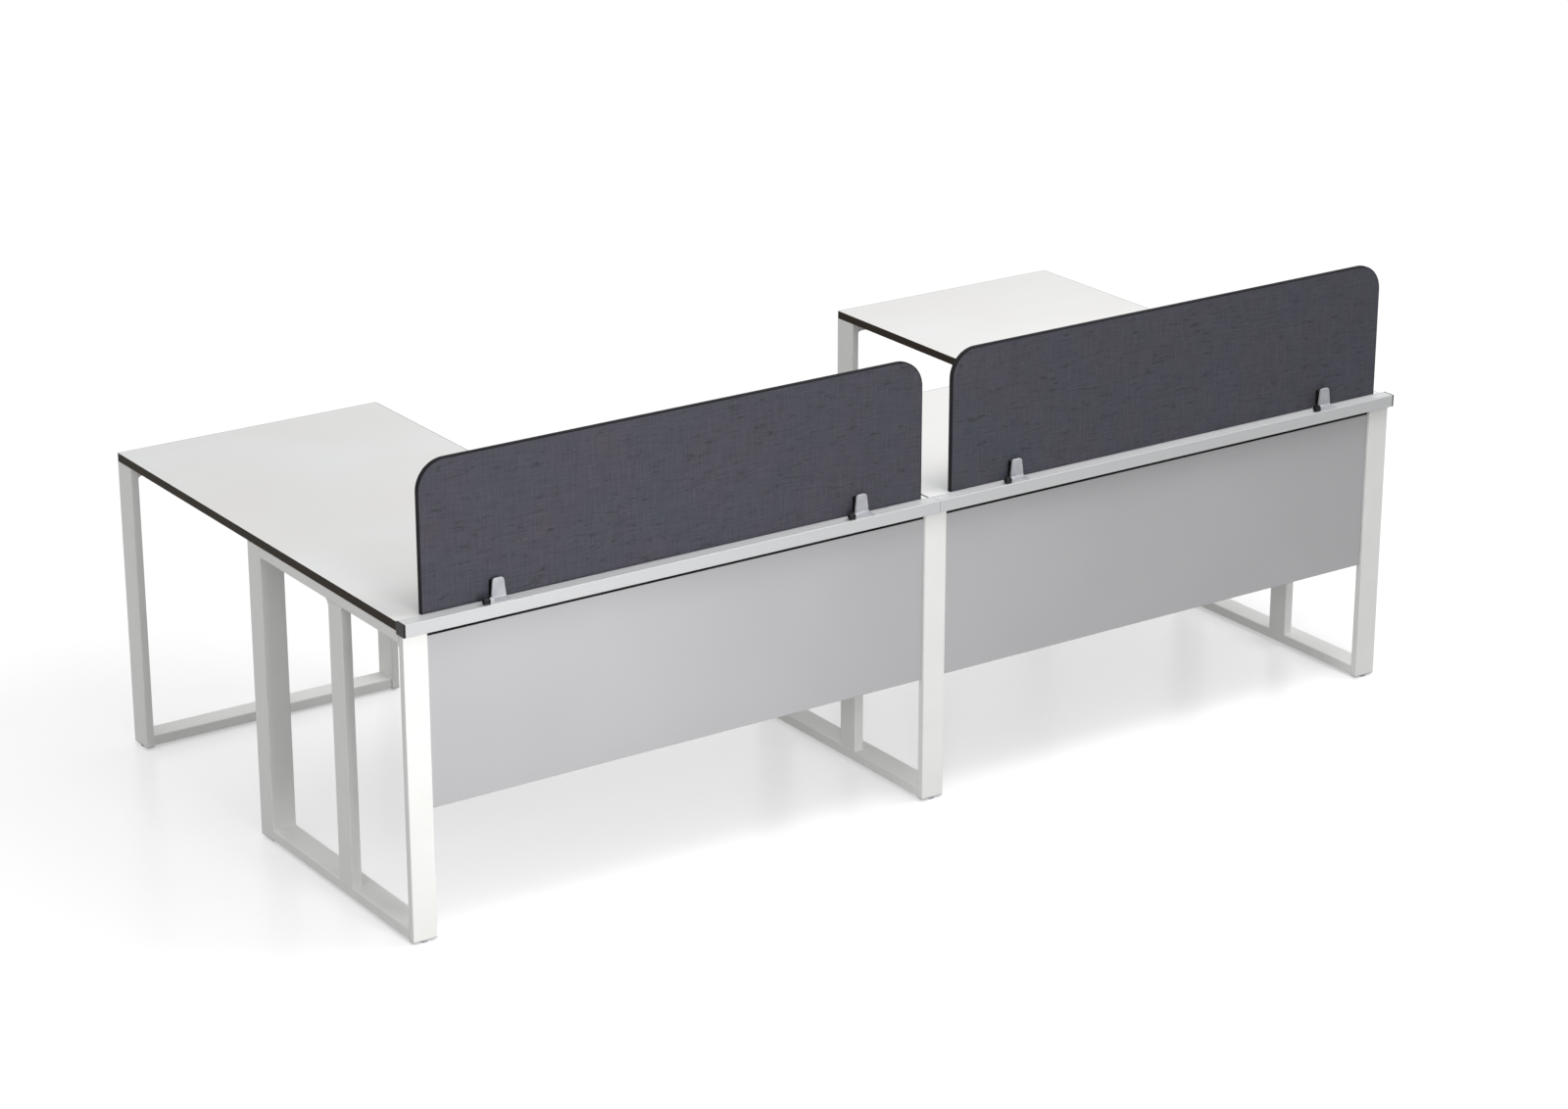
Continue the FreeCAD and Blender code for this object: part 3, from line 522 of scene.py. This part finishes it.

# %% [markdown]
# The tape stands three tenths of a millimetre proud of the board, as a tape pulled tight does. The
# rest of its depth, 3.2 mm, is sunk in the board's edge. It rides with the bench and is sewn to the
# cloth.

# %% Black tape on the screens' edges
tape_proud = 0.0003
tape_sunk = 0.0032
tape_depth = tape_sunk + tape_proud
tape_rounding = 0.0017
rounding_steps = 4
screen_corner = 0.068
for bay in ("left", "right"):
    low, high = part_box("screen_" + bay)
    low, high = Vector(low), Vector(high)
    path = screen_path(low, high, tape_depth / 2 - tape_proud, screen_corner)
    tape = swept_along(path, tape_tree, "screen_tape_" + bay, {
        "Width": high.y - low.y + 2 * tape_proud, "Depth": tape_depth, "Rounding": tape_rounding,
        "Corner Steps": rounding_steps, "Finish": tape_finish.material})
    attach(tape, "bench")
    lowest, highest = Vector(tape.bound_box[0]), Vector(tape.bound_box[6])
    print(tape.name, len(tape.data.polygons), "faces", [round(v, 4) for v in highest - lowest])

# %% [markdown]
# The photograph was taken from the front left and above with a long, shifted lens, which kept the
# uprights parallel. The lens here is not shifted, so that the bench stays in the middle of every view.
# Its place and direction were fitted to the bench's own corners, so they are plain numbers here.

# %% Camera
camera_place = Vector((-5.04368, -7.4085, 3.68791))
camera_turn = 0.60195
camera_tilt = 0.3508
photo_width = 1600
lens_in_pixels = 3952.92

camera_data = bpy.data.cameras.new("camera")
camera_data.sensor_width = 36.0
camera_data.lens = lens_in_pixels / photo_width * camera_data.sensor_width
camera = add_object("camera", camera_data)
camera.location = camera_place
camera.rotation_euler = (math.pi / 2 - camera_tilt, 0.0, -camera_turn)
bpy.context.scene.camera = camera
print("lens:", round(camera_data.lens, 2), "mm")

# %% [markdown]
# The studio is a pale, slightly glossy floor. The camera sees it as white where no shadow falls.
# Bounced light sees it darker, so that the sides of the legs keep their shade. A light path tells the
# two apart.


# %% Floor
def grey(level):
    return (level, level, level, 1.0)


def sight(graph):
    """One for what the camera sees, directly, mirrored or through glass. Zero for bounced light."""
    path = graph.node("ShaderNodeLightPath", {}, "Is Camera Ray")
    return (path + path.beside("Is Glossy Ray") + path.beside("Is Transmission Ray")).clamp()


floor_seen = (0.65, 0.65, 0.655, 1.0)
floor_in_bounces = grey(0.36)
floor_glow = grey(0.42)
floor_half = 30.0
floor_finish = Finish("pale studio floor", Roughness=0.25, IOR=1.35, Emission_Strength=1.0)
seen = sight(floor_finish)
floor_finish.drive("Base Color", floor_finish.blend(seen, floor_in_bounces, floor_seen))
floor_finish.drive("Emission Color", floor_finish.blend(seen, grey(0.0), floor_glow))
floor_mesh = bpy.data.meshes.new("studio_floor")
floor_corners = [(-floor_half, -floor_half, 0), (floor_half, -floor_half, 0),
                 (floor_half, floor_half, 0), (-floor_half, floor_half, 0)]
floor_mesh.from_pydata(floor_corners, [], [(0, 1, 2, 3)])
floor_mesh.materials.append(floor_finish.material)
floor = add_object("studio_floor", floor_mesh)
print("floor made,", 2 * floor_half, "m square")

# %% [markdown]
# The sky is plain, with one broad glow high in front that fades out with the square of the cosine. The
# camera sees it as white.

# %% Sky
soft_light_from = Vector((0.0, -0.3, 1.0)).normalized()
sky_level = 0.5
soft_light_level = 0.5
world = bpy.data.worlds.new("studio")
world.use_nodes = True
bpy.context.scene.world = world
sky = Graph(world.node_tree)
direction = sky.node("ShaderNodeTexCoord", {}, "Generated")
toward = sky.node("ShaderNodeVectorMath", {0: direction, 1: soft_light_from}, "Value",
                  operation="DOT_PRODUCT")
glow = toward.math("MAXIMUM", 0.0).math("POWER", 2.0) * soft_light_level + sky_level
seen = sight(sky)
level = glow * (1.0 - seen) + seen
background = sky.node("ShaderNodeBackground", {"Color": grey(1.0), "Strength": level})
world_output = sky.tree.nodes.new("ShaderNodeOutputWorld")
sky.tree.links.new(background.socket, world_output.inputs["Surface"])
print("sky made")

# %% [markdown]
# A long soft lamp hangs over the rail, whose top lies at the foot of the screens and sees only half of
# the sky. It hangs to the right, because the right-hand top is the lighter one in the photograph. A
# lower lamp stands at the front left, so that the panels and legs grow darker to the right. The
# Standard view shows the colours as they were chosen.


# %% Lamps and view
def area_lamp(name, place, target, width, height, watts):
    data = bpy.data.lights.new(name, "AREA")
    data.shape = "RECTANGLE"
    data.size = width
    data.size_y = height
    data.energy = watts
    lamp = add_object(name, data)
    lamp.location = place
    lamp.rotation_euler = (Vector(target) - Vector(place)).to_track_quat("-Z", "Y").to_euler()


area_lamp("front_lamp", place=(-1.25, -2.3, 1.05), target=(-1.25, -0.7, 0.5),
          width=0.5, height=0.8, watts=16.5)
area_lamp("upper_lamp", place=(1.0, -1.2, 3.2), target=(0.7, -0.67, 0.75),
          width=2.4, height=0.8, watts=44.0)
bpy.context.scene.view_settings.view_transform = "Standard"
print("lamps and view made")
